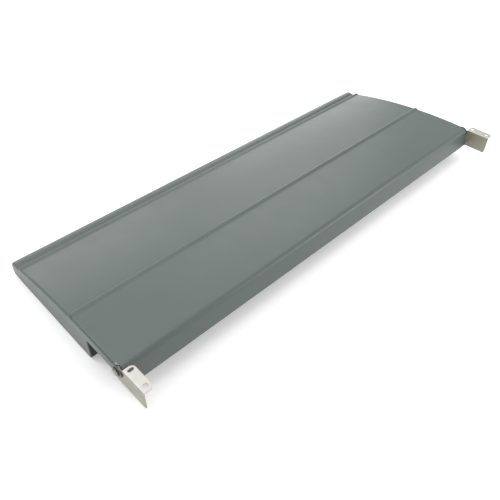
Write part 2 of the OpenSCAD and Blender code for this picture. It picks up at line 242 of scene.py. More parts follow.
@dataclass
class Shell:
    """The faces of one piece while it is put together, in deck millimetres."""

    points: list[Array] = field(default_factory=list)
    faces: list[list[int]] = field(default_factory=list)

    def add(self, points: Array, *groups: Array) -> None:
        """Adds points and the faces between them.

        Args:
            points: The new points, one row each, or a grid of them.
            groups: Arrays of faces, each with the corner numbers within the new points.
        """
        start = sum(len(block) for block in self.points)
        self.points.append(points.reshape(-1, 3))
        for group in groups:
            self.faces.extend((group + start).tolist())

    def add_prism(
        self, outline: Array, low: Array | float, high: Array | float, drilled: Array | None = None
    ) -> None:
        """Adds the solid swept by a closed (y, z) outline between two stations along X.

        Args:
            outline: The outline's points, in clockwise order.
            low: The lower station, one for all points or one for each.
            high: The upper station, likewise.
            drilled: True for each side that is left out, because add_drilled() makes it with holes.
        """
        count = len(outline)
        rings = np.stack([upright(outline, low), upright(outline, high)])
        sides = grid_faces(2, count, wrap=True)
        if drilled is not None:
            sides = sides[~drilled]
        fill = plane_fill(outline)
        self.add(rings, sides, fill[:, ::-1], fill + count)

    def add_drilled(
        self, outline: Array, ends: tuple[float, float], sheet: float, holes: Array, radius: float
    ) -> None:
        """Adds a prism whose floor flange has round holes through it.

        Args:
            outline: The closed (y, z) section, clockwise; its flange's faces are flat, at 0 and at sheet.
            ends: The lower and the upper station along X.
            sheet: The flange's thickness.
            holes: The holes' centres, as (x, y).
            radius: The holes' radius.
        """
        after = np.roll(outline, -1, axis=0)
        level = np.abs(after[:, 1] - outline[:, 1]) < LEVEL_TOLERANCE
        level &= outline[:, 1] < sheet + LEVEL_TOLERANCE
        flat = level & (np.abs(after[:, 0] - outline[:, 0]) > 2 * radius)
        self.add_prism(outline, *ends, drilled=flat)
        circles = [circle(centre, radius, RIVET_HOLE_POINTS) for centre in holes]
        for start, end, height in zip(outline[flat, 0], after[flat, 0], outline[flat, 1]):
            near, far = sorted((start, end))
            border = np.array([[ends[0], near], [ends[1], near], [ends[1], far], [ends[0], far]])
            fill = plane_fill(border, *circles)
            points = lying(np.concatenate([border, *circles]), height)
            self.add(points, fill if height > 0 else fill[:, ::-1])
        for hole in circles:
            wall = np.stack([lying(hole, 0.0), lying(hole, sheet)])
            self.add(wall, grid_faces(2, len(hole), wrap=True))

    def add_block(self, low: tuple[float, float, float], high: tuple[float, float, float]) -> None:
        """Adds a flat plate between two corners, with its upright edges rounded."""
        edge = (high[2] - low[2]) / 2
        corners = np.array([[low[0], low[1]], [low[0], high[1]], [high[0], high[1]], [high[0], low[1]]])
        middle = (corners[0] + corners[3]) / 2
        outline = rounded(np.concatenate([[middle], corners, [middle]]), edge, count=5)[:-1]
        rings = np.stack([lying(outline, low[2]), lying(outline, high[2])])
        fill = plane_fill(outline)
        self.add(rings, grid_faces(2, len(outline), wrap=True), fill[:, ::-1], fill + len(outline))

    def add_turned(
        self,
        profile: Array,
        base: Array,
        axis: int = 0,
        flip: bool = False,
        cut: Callable[[Array, Array, Array], Array] | None = None,
        count: int = 72,
    ) -> None:
        """Adds a turned solid: a profile of (height, radius) points carried round an axis.

        The point at angle a is base + height along the axis + radius (cos a, sin a) across it.

        Args:
            profile: The profile, from its top outwards and down, and for a ring back up its bore.
            base: Where height 0 is on the axis.
            axis: 0, 1 or 2 for an axis along X, Y or Z.
            flip: Whether the heights run the other way along the axis.
            cut: Works out the radius from height, radius and angle, for flats and threads.
            count: Points round the axis.
        """
        angle = np.linspace(0, 2 * np.pi, count, endpoint=False)[None, :]
        height = profile[:, :1] + 0 * angle
        radius = profile[:, 1:] + 0 * angle
        if cut is not None:
            radius = cut(height, radius, angle + 0 * height)
        points = np.zeros((*height.shape, 3))
        points[..., axis] = -height if flip else height
        points[..., (axis + 1) % 3] = radius * np.cos(angle)
        points[..., (axis + 2) % 3] = radius * np.sin(angle)
        faces = grid_faces(len(profile), count, wrap=True)
        self.add(points + base, faces[:, ::-1] if flip else faces)

    def mirror_x(self, length: float) -> None:
        """Mirrors the shell along X, so that x becomes length - x, and keeps its faces outward."""
        self.points = [np.column_stack([length - block[:, 0], block[:, 1:]]) for block in self.points]
        self.faces = [face[::-1] for face in self.faces]

    def piece(self, name: str, placed: Callable[[Array], Array]) -> bpy.types.Object:
        """Makes the mesh object, smooth except along edges that turn by more than SHARP_ANGLE.

        Args:
            name: The piece's name.
            placed: Turns deck millimetres into the frame's metres.

        Returns:
            The new object, linked to the scene.
        """
        mesh = bpy.data.meshes.new(name)
        mesh.from_pydata(placed(np.concatenate(self.points)).tolist(), [], self.faces)
        work = bmesh.new()
        work.from_mesh(mesh)
        bmesh.ops.remove_doubles(work, verts=work.verts, dist=MERGE_DISTANCE)
        work.to_mesh(mesh)
        work.free()
        mesh.shade_smooth()
        mesh.set_sharp_from_angle(angle=SHARP_ANGLE)
        made = bpy.data.objects.new(name, mesh)
        bpy.context.scene.collection.objects.link(made)
        return made


def grid_faces(rows: int, columns: int, wrap: bool = False) -> Array:
    """Quads of a grid numbered row by row, each turning from its row to the next one and back.

    Args:
        rows: Rows of points.
        columns: Points in each row.
        wrap: Whether each row is a closed ring.

    Returns:
        Four corner numbers for each quad.
    """
    row, column = np.meshgrid(np.arange(rows - 1), np.arange(columns if wrap else columns - 1), indexing="ij")
    here, after = row * columns, (column + 1) % columns
    there = here + columns
    return np.stack([here + column, there + column, there + after, here + after], axis=-1).reshape(-1, 4)


def settled(made: bpy.types.Object) -> bpy.types.Object:
    """Applies a piece's modifiers to its mesh, so that what is stored is the final shape."""
    graph = bpy.context.evaluated_depsgraph_get()
    final = bpy.data.meshes.new_from_object(made.evaluated_get(graph))
    made.modifiers.clear()
    old, made.data = made.data, final
    final.name = made.name
    bpy.data.meshes.remove(old)
    return made


# ---- Finishes ----


class Network:
    """A material's node tree, with short calls for the few nodes that the finishes share."""

    def __init__(self, name: str) -> None:
        """Starts a material that has one principled shader and reads the piece's own coordinates."""
        self.material = bpy.data.materials.new(name)
        self.material.use_nodes = True
        self.tree = self.material.node_tree
        self.shader = self.tree.nodes["Principled BSDF"]
        self.place = self.tree.nodes.new("ShaderNodeTexCoord").outputs["Object"]

    def node(self, kind: str, **values: object) -> bpy.types.Node:
        """Adds a node and sets its inputs by name; a socket is linked and anything else is a value."""
        made = self.tree.nodes.new(kind)
        for name, value in values.items():
            self.put(made.inputs[name.replace("_", " ")], value)
        return made

    def put(self, target: bpy.types.NodeSocket, value: object) -> None:
        """Links a socket to an input, or sets the input's own value."""
        if isinstance(value, bpy.types.NodeSocket):
            self.tree.links.new(value, target)
        else:
            target.default_value = value

    def shade(self, **values: object) -> None:
        """Sets or links the shader's own inputs, by name."""
        for name, value in values.items():
            self.put(self.shader.inputs[name.replace("_", " ")], value)

    def grain(
        self, scale: float, detail: float, stretch: tuple[float, float, float] = (1, 1, 1)
    ) -> bpy.types.NodeSocket:
        """Cloudy noise from 0 to 1.

        Args:
            scale: How many features fit in a metre, about.
            detail: Octaves of finer noise on top.
            stretch: How many times finer the grain is along each axis.

        Returns:
            The noise's factor.
        """
        vector = self.place
        if stretch != (1, 1, 1):
            vector = self.node("ShaderNodeMapping", Vector=self.place, Scale=stretch).outputs["Vector"]
        return self.node("ShaderNodeTexNoise", Vector=vector, Scale=scale, Detail=detail).outputs["Fac"]

    def between(self, share: bpy.types.NodeSocket, low: float, high: float) -> bpy.types.NodeSocket:
        """A number that runs from low to high over the middle half of a noise's range."""
        start, end = NOISE_MIDDLE
        span = {"From_Min": start, "From_Max": end, "To_Min": low, "To_Max": high}
        return self.node("ShaderNodeMapRange", Value=share, **span).outputs["Result"]

    def above(self, low: float, high: float) -> bpy.types.NodeSocket:
        """A share that runs from 0 to 1 between two heights, in metres."""
        height = self.node("ShaderNodeSeparateXYZ", Vector=self.place).outputs["Z"]
        return self.node("ShaderNodeMapRange", Value=height, From_Min=low, From_Max=high).outputs["Result"]

    def product(self, first: bpy.types.NodeSocket, second: bpy.types.NodeSocket) -> bpy.types.NodeSocket:
        """Two colours multiplied channel by channel."""
        made = self.node("ShaderNodeVectorMath")
        made.operation = "MULTIPLY"
        for target, value in zip(made.inputs, (first, second)):
            self.put(target, value)
        return made.outputs["Vector"]

    def tones(self, share: bpy.types.NodeSocket, low: tuple, high: tuple) -> bpy.types.NodeSocket:
        """A colour that runs from low to high over the middle half of a noise's range."""
        made = self.node("ShaderNodeValToRGB", Fac=share)
        for stop, place, colour in zip(made.color_ramp.elements, NOISE_MIDDLE, (low, high)):
            stop.position = place
            stop.color = (*colour, 1.0)
        return made.outputs["Color"]

    def relief(
        self, height: bpy.types.NodeSocket, depth: float, under: bpy.types.NodeSocket | None = None
    ) -> bpy.types.NodeSocket:
        """A bump whose height swings over depth, in metres.

        Args:
            height: The pattern, from 0 to 1.
            depth: How far the surface rises where the pattern is 1.
            under: Another bump's normal, which this one is added to.

        Returns:
            The bump's normal.
        """
        made = self.node("ShaderNodeBump", Height=height, Distance=depth)
        if under is not None:
            self.put(made.inputs["Normal"], under)
        return made.outputs["Normal"]


@dataclass(frozen=True)
class PowderCoat:
    """Satin powder coat: fine orange peel, with a tone and a sheen that drift a little along the sheet."""

    name: str
    low: tuple[float, float, float]
    high: tuple[float, float, float]
    rough: tuple[float, float] = (0.36, 0.44)
    peel: float = 0.000012
    peel_scale: float = 700
    wave_scale: float = 60
    sheen_scale: float = 24
    tone_scale: float = 7

    def material(self) -> bpy.types.Material:
        """Builds the node material."""
        net = Network(self.name)
        waves = net.relief(net.grain(self.wave_scale, 1), self.peel * 3)
        net.shade(
            Base_Color=net.tones(net.grain(self.tone_scale, 4), self.low, self.high),
            Roughness=net.between(net.grain(self.sheen_scale, 3), *self.rough),
            Normal=net.relief(net.grain(self.peel_scale, 1), self.peel, waves),
        )
        return net.material


@dataclass(frozen=True)
class Plating:
    """Metal plating on sheet or on turned parts: fine rolling lines and a faint cloudy tarnish.

    The plating may carry painted shade below a fold: its tone is multiplied by a darker shade colour there,
    which stands in for the dimmer light on the side plate, and eases to its full brightness between the
    fold's two heights, in metres.
    """

    name: str
    low: tuple[float, float, float]
    high: tuple[float, float, float]
    rough: tuple[float, float]
    stretch: tuple[float, float, float]
    metallic: float = 1.0
    dulled: tuple[float, float, float] | None = None
    fold: tuple[float, float] = (0.0, 1.0)
    line_depth: float = 0.000004
    line_scale: float = 30
    cloud_scale: float = 240
    tone_scale: float = 70

    def material(self) -> bpy.types.Material:
        """Builds the node material."""
        net = Network(self.name)
        lines = net.grain(self.line_scale, 3, self.stretch)
        clouds = net.relief(net.grain(self.cloud_scale, 2), self.line_depth * 3)
        tone = net.tones(net.grain(self.tone_scale, 5), self.low, self.high)
        # Painted shade: the side plate below the fold is darkened by height to stand in for the dimmer light
        # it gets.
        if self.dulled is not None:
            tone = net.product(tone, net.tones(net.above(*self.fold), self.dulled, (1.0, 1.0, 1.0)))
        net.shade(
            Base_Color=tone,
            Metallic=self.metallic,
            Roughness=net.between(lines, *self.rough),
            Normal=net.relief(lines, self.line_depth, clouds),
        )
        return net.material


@dataclass(frozen=True)
class MouldedNylon:
    """Black moulded nylon with a fine matt grain."""

    name: str
    low: tuple[float, float, float]
    high: tuple[float, float, float]
    rough: tuple[float, float] = (0.42, 0.55)
    grain_depth: float = 0.00001
    grain_scale: float = 1500
    sheen_scale: float = 200
    tone_scale: float = 300

    def material(self) -> bpy.types.Material:
        """Builds the node material."""
        net = Network(self.name)
        net.shade(
            Base_Color=net.tones(net.grain(self.tone_scale, 3), self.low, self.high),
            Roughness=net.between(net.grain(self.sheen_scale, 2), *self.rough),
            Normal=net.relief(net.grain(self.grain_scale, 2), self.grain_depth),
        )
        return net.material


FINISHES = {
    Slot.DECK: PowderCoat("satin_deck_paint", low=(0.081, 0.103, 0.097), high=(0.088, 0.111, 0.104)),
    # Inner paint for the web, seam stringer and ribs: its very dark tone is painted shade for the hollow
    # under the overhanging deck.
    Slot.INNER: PowderCoat(
        "inner_deck_paint", low=(0.014, 0.0175, 0.0165), high=(0.018, 0.022, 0.021), rough=(0.5, 0.62)
    ),
    Slot.BRACKET: Plating(
        "bracket_plate",
        low=(0.45, 0.44, 0.405),
        high=(0.52, 0.51, 0.475),
        rough=(0.34, 0.46),
        stretch=(6, 1, 6),
        metallic=0.6,
        # Painted shade on the side plate below the fold, easing out between these heights in metres.
        dulled=(0.68, 0.65, 0.56),
        fold=(0.064, 0.069),
    ),
    Slot.FASTENER: Plating(
        "fastener_plate",
        low=(0.42, 0.42, 0.41),
        high=(0.52, 0.52, 0.51),
        rough=(0.22, 0.36),
        stretch=(14, 1, 1),
    ),
    Slot.BUSH: MouldedNylon("bush_nylon", low=(0.010, 0.010, 0.011), high=(0.018, 0.018, 0.019)),
}


class Workshop:
    """Dresses finished pieces and CAD nodes, and puts each on its body."""

    def __init__(self) -> None:
        """Builds every finish once."""
        self.materials = {slot: finish.material() for slot, finish in FINISHES.items()}

    def deliver(self, made: bpy.types.Object, node: str, slot: Slot) -> None:
        """Dresses a new piece, puts it on its CAD node's body and lets it stand for that node.

        Args:
            made: The piece.
            node: The CAD node that it replaces.
            slot: The material slot that it takes.
        """
        made.data.materials.clear()
        made.data.materials.append(self.materials[slot])
        body = frame["nodes"][node]["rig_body"]
        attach(made, body)
        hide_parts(node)
        log.info("%s: %d faces, stands for %s on %s", made.name, len(made.data.polygons), node, body)

    def dress(self, node: str, slot: Slot) -> None:
        """Gives a CAD node that stays in view its finish."""
        shown = frame["nodes"][node]
        shown.data.materials.clear()
        shown.data.materials.append(self.materials[slot])
        log.info("%s: CAD node kept, dressed in %s", node, slot.value)


# ---- The deck's cross section and its place ----


@dataclass(frozen=True)
class Deck:
    """The deck's cross section and length, in millimetres. Its length and depth come from the frame."""

    length: float
    depth: float
    origin: tuple[float, float, float]
    height: float = 72.5
    crown_radius: float = 1220.0
    crown_line: float = 50.0
    sheet: float = 1.5
    sheet_gap: float = 0.1
    pivot_y: float = 8.5
    bend_radius: float = 12.5
    lip_lean: float = 15.0
    lip_bottom: float = 33.0
    hem: float = 7.0
    hem_bend: float = 2.2
    seam_line: float = 143.0
    rear_line: float = 328.0
    ridge_height: float = 3.3
    ridge_ramp: float = 10.0
    ridge_crest: float = 1.6
    ridge_step: float = 1.2
    crest_lead: float = 0.5
    crest_reach: float = 0.8
    crest_fall: float = 1.4
    crest_rounding: tuple[float, float] = (1.2, 0.5)
    foot_run: float = 2.0
    recess: float = 1.6
    tongue_reach: float = 30.0
    valley_depth: float = 3.7
    valley_front: float = 3.5
    valley_width: float = 5.0
    valley_rounding: tuple[float, float, float] = (1.2, 1.2, 0.8)
    bead_radius: float = 20.0
    bead_top: float = 37.5
    bead_start: float = 104.0
    web_line: float = 97.0
    flange: float = 22.0
    floor_bend: float = 6.0
    rim: float = 5.0
    bracket_reach: float = 56.5
    rib_count: int = 4
    rib_foot: float = 16.0
    rivet_inset: float = 11.0
    cap_rivet: float = 12.0
    rivet_hole: float = 2.05

    @classmethod
    def from_frame(cls) -> "Deck":
        """Reads the deck's length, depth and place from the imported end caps, left bracket and rear skin."""
        left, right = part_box("left_end_cap")[0].x / MM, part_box("right_end_cap")[1].x / MM
        tip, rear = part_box("left_bracket")[0].y / MM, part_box("rear_skin")[1].y / MM
        depth = rear - tip - cls.bracket_reach
        return cls(right - left, depth, (-left, depth - rear, 0.0))

    def placed(self, points: Array) -> Array:
        """Turns deck millimetres into the frame's metres."""
        return (points - np.array(self.origin)) * MM

    def crown(self, y: Array | float) -> Array:
        """Height of the crown's circle above the floor: top - R + sqrt(R R - (y - line)(y - line))."""
        across = np.asarray(y, float) - self.crown_line
        return self.height - self.crown_radius + np.sqrt(self.crown_radius**2 - across**2)

    @cached_property
    def pivot(self) -> Array:
        """The bend's centre, which is also the bracket's pivot, as (y, z)."""
        reach = self.crown_radius - self.bend_radius
        drop = math.sqrt(reach**2 - (self.pivot_y - self.crown_line) ** 2)
        return np.array([self.pivot_y, self.height - self.crown_radius + drop])

    @cached_property
    def bend_top(self) -> float:
        """Angle at which the front bend meets the crown, in degrees."""
        reach = self.crown_radius - self.bend_radius
        return 90 + math.degrees(math.asin((self.crown_line - self.pivot_y) / reach))

    @cached_property
    def bend_end(self) -> float:
        """Distance back at which the front bend meets the crown."""
        return self.pivot_y + self.bend_radius * math.cos(math.radians(self.bend_top))

    @cached_property
    def bead_centre(self) -> Array:
        """Centre of the rear bead's circle, as (y, z)."""
        return np.array([self.depth - self.bead_radius, self.bead_top - self.bead_radius])

    @property
    def rivet_stations(self) -> tuple[Array, Array]:
        """Places along X of the rivets at the ribs, and of those at the end caps."""
        ribs = (np.arange(self.rib_count) + 1) * self.length / (self.rib_count + 1)
        ends = np.array([self.cap_rivet, self.length - self.cap_rivet])
        return ribs + (self.rib_foot + self.sheet) / 2, ends

    @property
    def rivet_rows(self) -> tuple[float, float]:
        """Distances back of the two rows of rivets, in the web's flange and in the rear one."""
        return self.web_line + self.rivet_inset, self.depth - self.rivet_inset

    def holes(self, row: float) -> tuple[Array, float]:
        """Centres (x, y) of the rivet holes in a row at that distance back, and their radius."""
        stations = np.sort(np.concatenate(self.rivet_stations))
        return np.column_stack([stations, np.full(len(stations), row)]), self.rivet_hole

    def span(self, node: str) -> tuple[Array, Array]:
        """Lowest and highest corner of a CAD node, in deck millimetres."""
        low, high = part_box(node)
        return np.array(low) / MM + self.origin, np.array(high) / MM + self.origin

    def crown_run(self, start: float, end: float, drop: float = 0.0, count: int = 24) -> Array:
        """Points along the crown between two distances, lowered by drop."""
        y = np.linspace(start, end, count)
        return np.stack([y, self.crown(y) - drop], axis=-1)

    def ridge_points(self, line: float, floor_drop: float) -> Array:
        """A ridge: its eased ramp, its rounded crest and the rounded step behind it.

        Args:
            line: Where the crest starts.
            floor_drop: How far below the crown the step ends.

        Returns:
            Points from the ramp's start to a little behind the step.
        """
        shoulder = line - self.crest_lead
        ramp = np.linspace(line - self.ridge_ramp, shoulder, num=22)
        after = line + self.ridge_crest
        foot = after + self.ridge_step
        top = self.ridge_height
        corners = np.array([
            [shoulder, top],
            [after + self.crest_reach, top - self.crest_fall],
            [foot, -floor_drop],
            [foot + self.foot_run, -floor_drop],
        ])
        tail = rounded(corners, self.crest_rounding, count=9)[1:]
        y = np.concatenate([ramp, tail[:, 0]])
        lift = np.concatenate([top * ease(ramp, ramp[0], line), tail[:, 1]])
        return np.stack([y, self.crown(y) + lift], axis=-1)

    def rear_top(self, start: float) -> Array:
        """Outer face from start back over the rear ridge, its recess and valley and round the bead."""
        ridge = self.ridge_points(self.rear_line, self.recess)
        valley = self.valley_line
        floor = self.crown(valley) - self.valley_depth
        bead = arc(self.bead_centre, self.bead_radius, self.bead_start, 0, count=30)
        corners = np.array([ridge[-2], [valley, floor], [valley + self.valley_width, floor], *bead[:2]])
        return np.concatenate([
            self.crown_run(start, ridge[0, 0], count=60)[:-1],
            ridge[:-2],
            rounded(corners, self.valley_rounding, count=6)[:-1],
            bead[1:],
        ])

    @property
    def valley_line(self) -> float:
        """Distance back at which the valley beside the bead reaches its floor."""
        return self.rear_line + self.ridge_crest + self.ridge_step + self.valley_front

    def lip(self) -> Array:
        """Outer face of the rolled front edge: the hem, the leaning lip and the bend, up to the crown."""
        bend = arc(self.pivot, self.bend_radius, 180 - self.lip_lean, self.bend_top, count=26)
        fall = bend[0, 1] - self.lip_bottom
        toe = np.array([bend[0, 0] - fall * math.tan(math.radians(self.lip_lean)), self.lip_bottom])
        hem = rounded(np.array([toe + [self.hem, 0], toe, bend[0]]), self.hem_bend, count=8)
        return np.concatenate([hem[:-1], bend])


# ---- Skins and the web ----


@dataclass
class Skins:
    """The two skins that interlock at the seam, and the web that the front one overhangs."""

    deck: Deck
    notch: float = 1.0
    notch_end: float = 14.0
    notch_fade: float = 1.0
    inner_lead: float = 1.0
    seam_gap: float = 1.0
    web_top_bend: float = 3.0
    bead_under: float = 75.0

    def front_outline(self) -> Array:
        """Closed section of the front skin, from the hem over the crown to the tongue under the rear skin."""
        deck = self.deck
        foot = deck.seam_line + deck.ridge_crest + deck.ridge_step
        end = foot + deck.tongue_reach
        lip = deck.lip()
        ridge = deck.ridge_points(deck.seam_line, deck.recess)
        outer = [
            lip[:-1],
            deck.crown_run(deck.bend_end, ridge[0, 0], count=44)[:-1],
            ridge[:-1],
            deck.crown_run(ridge[-1, 0], end, deck.recess, count=8),
        ]
        rise = np.linspace(deck.seam_line - deck.ridge_ramp / 2, foot, 8)
        sunk = deck.sheet + deck.recess * ease(rise, rise[0], foot)
        under_ridge = np.stack([rise, deck.crown(rise) - sunk], axis=-1)
        inner = [
            (lip - deck.sheet * path_normals(lip))[:-1],
            deck.crown_run(deck.bend_end + self.inner_lead, rise[0], deck.sheet, count=30)[:-1],
            under_ridge,
            deck.crown_run(foot + self.inner_lead, end, deck.recess + deck.sheet, count=8),
        ]
        return np.concatenate([*outer, np.concatenate(inner)[::-1]])

    def rear_outline(self) -> Array:
        """Closed section of the rear skin, from the seam over the bead to the floor flange."""
        deck = self.deck
        start = deck.seam_line + deck.ridge_crest + deck.ridge_step + self.seam_gap
        sheet = deck.sheet
        wall = np.array([[deck.depth, deck.bead_centre[1]], [deck.depth, 0], [deck.depth - deck.flange, 0]])
        inner_wall = wall + np.array([[-sheet, 0], [-sheet, sheet], [0, sheet]])
        valley = deck.valley_line
        valley_under = deck.crown(valley) - deck.valley_depth - sheet
        outer = [deck.rear_top(start), rounded(wall, deck.floor_bend, count=10)[1:]]
        inner = [
            deck.crown_run(start, deck.rear_line - deck.ridge_ramp / 2, sheet, count=40),
            [[deck.rear_line, deck.crown(deck.rear_line) - sheet]],
            [[valley, valley_under], [valley + deck.valley_width, valley_under]],
            arc(deck.bead_centre, deck.bead_radius - sheet, self.bead_under, 0, count=20),
            rounded(inner_wall, deck.floor_bend - sheet, count=10)[1:],
        ]
        return np.concatenate([*outer, np.concatenate(inner)[::-1]])

    def web_outline(self) -> Array:
        """Closed section of the web: a channel with a flange on the floor and one under the front skin."""
        deck = self.deck
        front, back, sheet = deck.web_line, deck.web_line + deck.flange, deck.sheet
        top = deck.crown(np.array([front, back])) - sheet - deck.sheet_gap
        corners = np.array([[back, 0], [front, 0], [front, top[0]], [back, top[1]]])
        inner = corners + np.array([[0, sheet], [sheet, sheet], [sheet, -sheet], [0, -sheet]])
        bends = np.array([deck.floor_bend, self.web_top_bend])
        return np.concatenate([rounded(corners, bends), rounded(inner, bends - sheet)[::-1]])

    def build(self, shop: Workshop) -> None:
        """Makes, dresses and delivers the three pieces."""
        deck = self.deck
        front = self.front_outline()
        short = self.notch * (1 - ease(front[:, 0], self.notch_end - self.notch_fade, self.notch_end))
        skin = Shell()
        skin.add_prism(front, deck.rim + short, deck.length - deck.rim - short)
        shop.deliver(skin.piece("front_skin_panel", deck.placed), "front_skin", Slot.DECK)
        front_row, rear_row = deck.rivet_rows
        for outline, inset, row, name, node, slot in (
            (self.rear_outline(), deck.rim, rear_row, "rear_skin_panel", "rear_skin", Slot.DECK),
            (self.web_outline(), deck.sheet, front_row, "web_channel", "front_web", Slot.INNER),
        ):
            made = Shell()
            made.add_drilled(outline, (inset, deck.length - inset), deck.sheet, *deck.holes(row))
            shop.deliver(made.piece(name, deck.placed), node, slot)


# ---- Structure inside ----


@dataclass
class Rivets:
    """Dome-headed rivets through the floor flanges, standing on the floor."""

    deck: Deck
    radius: float = 2.0
    head_radius: float = 3.8
    head_height: float = 1.4
    tail_chamfer: float = 0.25

    def profile(self) -> Array:
        """(height, radius) down the axis: a spherical cap for the head, the shank, and its chamfered tail."""
        top = 2 * self.deck.sheet
        ball = (self.head_radius**2 + self.head_height**2) / (2 * self.head_height)
        reach = math.degrees(math.asin(self.head_radius / ball))
        dome = arc((top + self.head_height - ball, 0), ball, 0, reach, count=8)
        low, chamfer = self.radius - self.tail_chamfer, self.tail_chamfer
        return np.concatenate([dome, [[top, self.radius], [chamfer, self.radius], [0, low], [0, 0]]])

    def build(self, shop: Workshop) -> None:
        """Makes one piece for the ribs' rivets and one for the end caps'."""
        profile = self.profile()
        for name, stations in zip(("rib_rivets", "end_cap_rivets"), self.deck.rivet_stations):
            made = Shell()
            for x in stations:
                for y in self.deck.rivet_rows:
                    made.add_turned(profile, np.array([x, y, 0]), axis=2)
            piece = made.piece(name.replace("rivets", "rivet_set"), self.deck.placed)
            shop.deliver(piece, name, Slot.FASTENER)


# ---- End caps ----


@dataclass
class EndCap:
    """A pressed cap: a flat face with a rounded rim over the skins, a shallow front arm and the pivot ear."""

    deck: Deck
    end: End
    arm: float = 21.0
    arm_fillet: float = 5.0
    ear_fillet: float = 6.0
    rim_round: float = 4.3
    plate_round: float = 1.0
    face_land: float = 0.5
    inner_tuck: float = 0.2
    edge_step: float = 8.0
    flange_reach: float = 14.0
    hole_radius: float = 3.05
    rim_start: tuple[float, float] = (11.0, 16.0)
    floor_fade: tuple[float, float] = (330.0, 346.0)

    def top(self) -> tuple[Array, Array]:
        """The cap's top and bead, as the rim follows it and as the flat face does.

        Returns:
            The outline with its ridges and valley, and the same points on the plain crown and bead.
        """
        deck = self.deck
        ridge = deck.ridge_points(deck.seam_line, 0.0)
        outline = np.concatenate([
            deck.crown_run(deck.bend_end, ridge[0, 0], count=48)[:-1],
            ridge[:-1],
            deck.rear_top(ridge[-1, 0]),
        ])
        y = outline[:, 0]
        join = deck.bead_centre[0]
        blend = ease(y, deck.rear_line - deck.ridge_ramp, join)
        plain = deck.crown(np.minimum(y, join)) * (1 - blend) + deck.bead_top * blend
        return outline, np.where((y <= join)[:, None], np.stack([y, plain], axis=-1), outline)

    def underside(self) -> Array:
        """The rest of the cap's outline: down the rear wall, under the arm and round the ear."""
        deck = self.deck
        level = float(deck.crown(deck.pivot_y + deck.bend_radius)) - self.arm
        fall = level - self.ear_fillet - deck.pivot[1]
        across = math.sqrt((deck.bend_radius + self.ear_fillet) ** 2 - fall**2)
        toward = math.degrees(math.atan2(-fall, -across))
        fillet_centre = deck.pivot + [across, fall]
        corners = np.array([
            [deck.depth, deck.bead_centre[1]],
            [deck.depth, 0],
            [deck.web_line, 0],
            [deck.web_line, deck.crown(deck.web_line) - self.arm],
            [fillet_centre[0], level],
        ])
        under = rounded(corners, [deck.floor_bend, deck.floor_bend, self.arm_fillet])
        return np.concatenate([
            spaced(under, self.edge_step)[1:-1],
            arc(fillet_centre, self.ear_fillet, 90, toward, count=9)[:-1],
            arc(deck.pivot, deck.bend_radius, toward + 180, deck.bend_top, count=44)[:-1],
        ])

    def rings(self) -> Array:
        """Rings of the pressed shell, from the flat face over the rim and back along the inner wall.

        At a turn f from the rim, a ring lies e (1 - cos f) inside the outline and d (1 - sin f) behind the
        face, with the ridges fading by the same 1 - cos f. The inner wall does the same about the sheet.

        Returns:
            Points (ring, place round the outline, x y z).
        """
        deck = self.deck
        outline, face = self.top()
        rest = self.underside()
        full = [ease(outline[:, 0], *self.rim_start), ease(rest[:, 0], *self.floor_fade)]
        full = np.concatenate(full)[:, None]
        outline = np.concatenate([outline, rest])
        face = np.concatenate([face, rest])
        outward = path_normals(face, closed=True)
        round_over = self.plate_round + (self.rim_round - self.plate_round) * full
        depth = deck.sheet + (deck.rim - deck.sheet) * full
        wall = self.plate_round / 2 + (deck.sheet - self.plate_round / 2) * full

        def ring(share: float, inset: Array, station: Array) -> Array:
            """One ring: the outline eased towards the plain one by share, moved in by inset, at a station."""
            plane = outline + (face - outline) * share - outward * inset
            return np.concatenate([np.broadcast_to(station, (len(plane), 1)), plane], axis=1)

        turns = np.radians(np.linspace(90, 0, 10))
        shares = [(1 - math.cos(turn), 1 - math.sin(turn)) for turn in turns]
        land, sheet = round_over + self.face_land, deck.sheet
        tuck, run = round_over + self.inner_tuck - wall, depth - sheet
        return np.stack([
            ring(1, land, 0 * depth),
            *(ring(across, round_over * across, round_over * along) for across, along in shares),
            ring(0, 0 * depth, depth),
            *(ring(across, wall + tuck * across, sheet + run * along) for across, along in shares[::-1]),
            ring(1, land, sheet + 0 * depth),
        ])

    def shell(self) -> Shell:
        """The left cap's shell: the rim's rings, the two faces round the pivot hole and the floor flange."""
        deck = self.deck
        rings = self.rings()
        count = rings.shape[1]
        hole = circle(deck.pivot, self.hole_radius, BORE_POINTS, clockwise=True)
        made = Shell()
        made.add(rings, grid_faces(len(rings), count, wrap=True))
        for ring, station, outer_face in ((rings[0], 0.0, True), (rings[-1], deck.sheet, False)):
            loop = ring[:, 1:]
            fill = plane_fill(loop, hole)
            made.add(upright(np.concatenate([loop, hole]), station), fill[:, ::-1] if outer_face else fill)
        sides = np.stack([upright(hole, 0.0), upright(hole, deck.sheet)])
        made.add(sides, grid_faces(2, len(hole), wrap=True)[:, ::-1])
        inset = deck.floor_bend + deck.sheet
        low = (deck.sheet / 2, deck.web_line + inset, deck.sheet)
        high = (deck.rim + self.flange_reach, deck.depth - inset, 2 * deck.sheet)
        made.add_block(low, high)
        return made

    def build(self, shop: Workshop) -> None:
        """Makes, dresses and delivers the cap; the right one is the left one mirrored along X."""
        made = self.shell()
        if self.end is End.RIGHT:
            made.mirror_x(self.deck.length)
        node = f"{self.end.label}_end_cap"
        shop.deliver(made.piece(f"{self.end.label}_cap_pressing", self.deck.placed), node, Slot.DECK)


# ---- Brackets and their pivots ----


